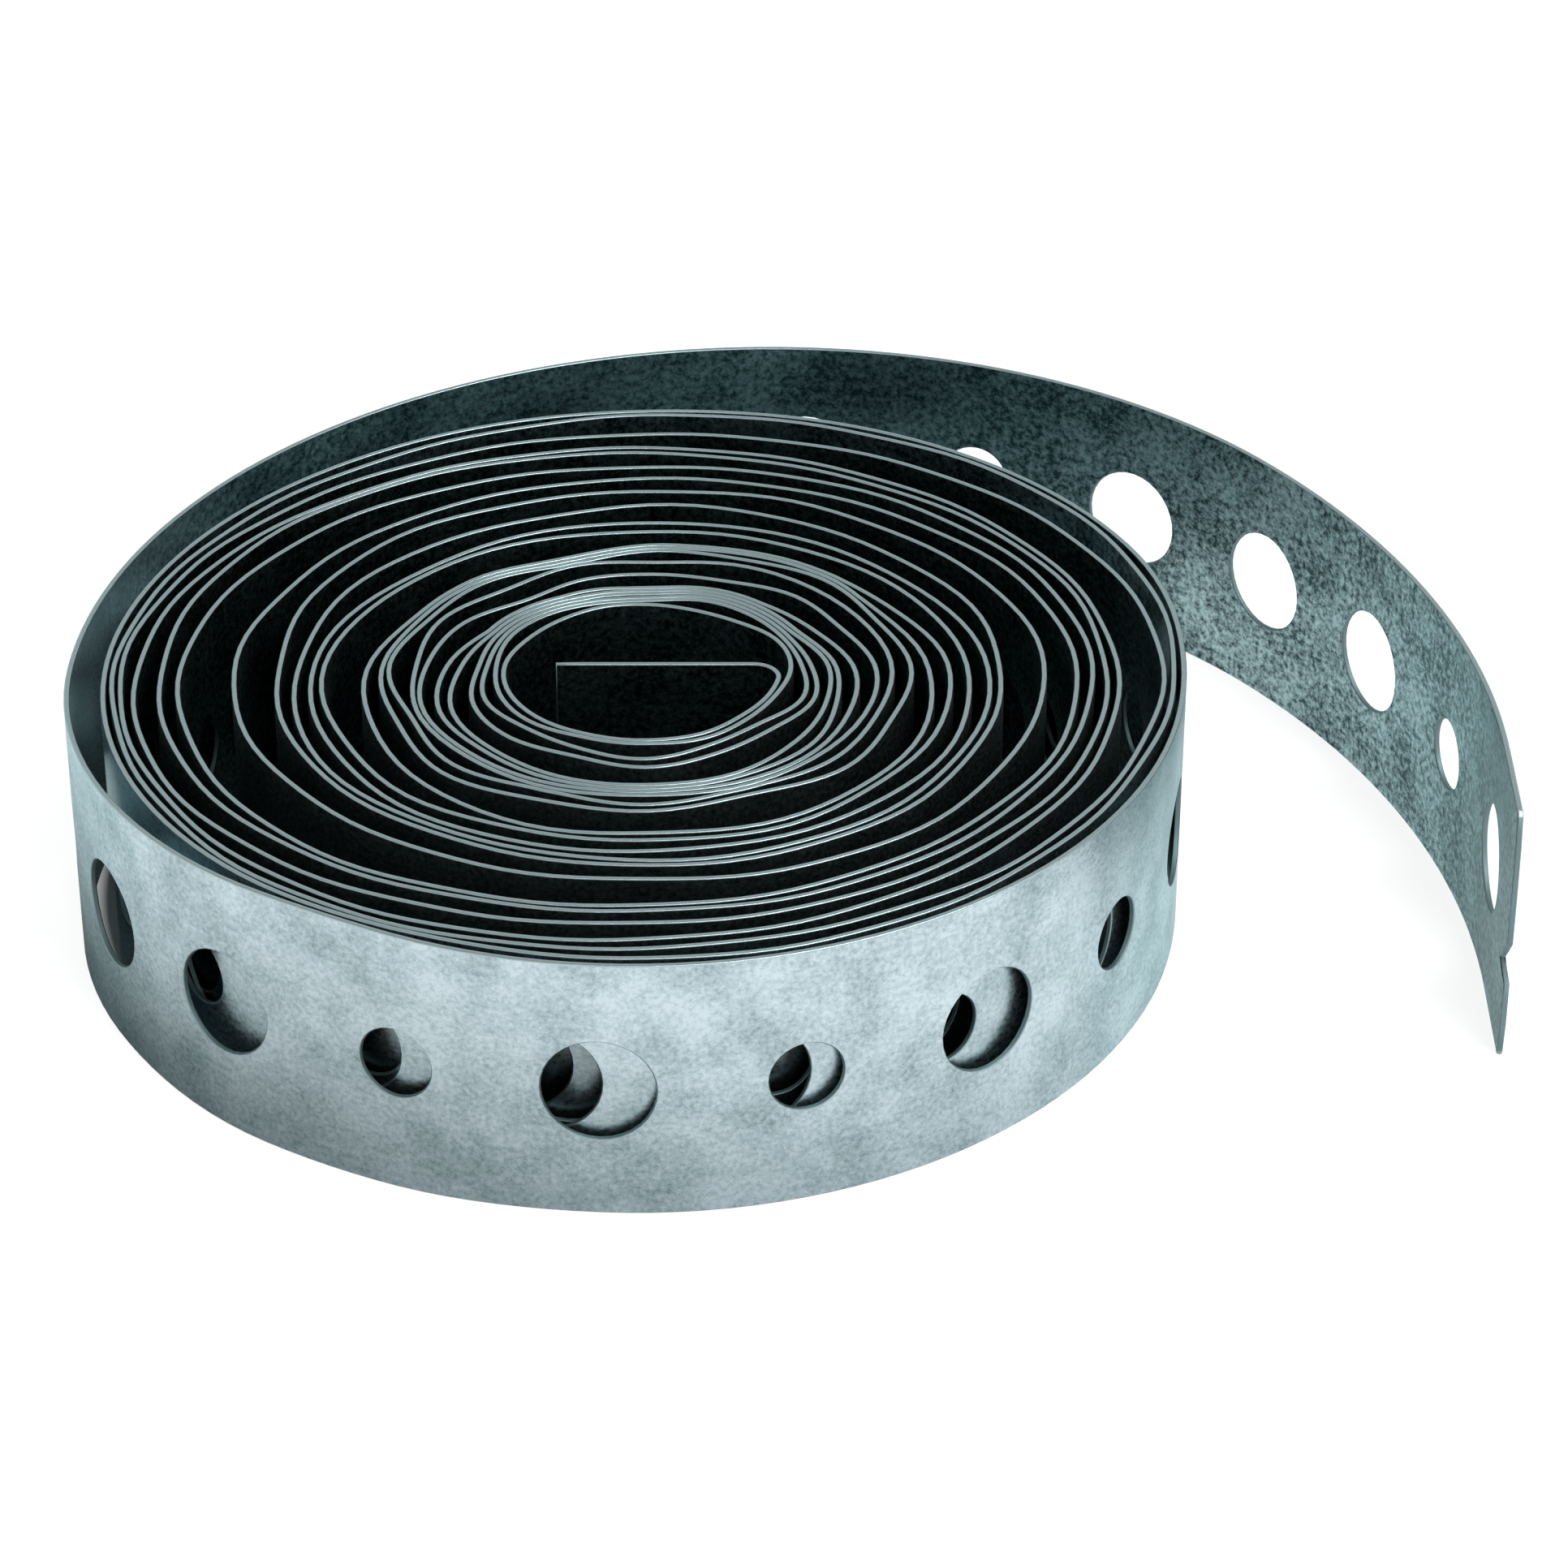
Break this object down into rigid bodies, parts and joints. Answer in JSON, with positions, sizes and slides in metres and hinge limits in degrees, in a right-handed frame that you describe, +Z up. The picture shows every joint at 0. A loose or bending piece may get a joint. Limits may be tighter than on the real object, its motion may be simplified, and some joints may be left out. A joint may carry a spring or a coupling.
{
  "type": "hanger strap",
  "caption": "Coil of thin galvanised steel strap with a row of large and small holes; its outer end stands loose, ready to be cut and screwed on.",
  "frame": {"origin": "centre of the part's outer box, on the surface that the coil stands on", "axes": "+Z up along the coil's axis; +X along the longest extent, from the coil towards the loose cut end; +Y away from the viewer, behind the coil"},
  "size_m": [0.0962, 0.0834, 0.019],
  "materials": {
    "strap": "galvanised sheet with a fine mottled spangle"
  },
  "bodies": {
    "root": {"strap": "strap"}
  },
  "joints": []
}
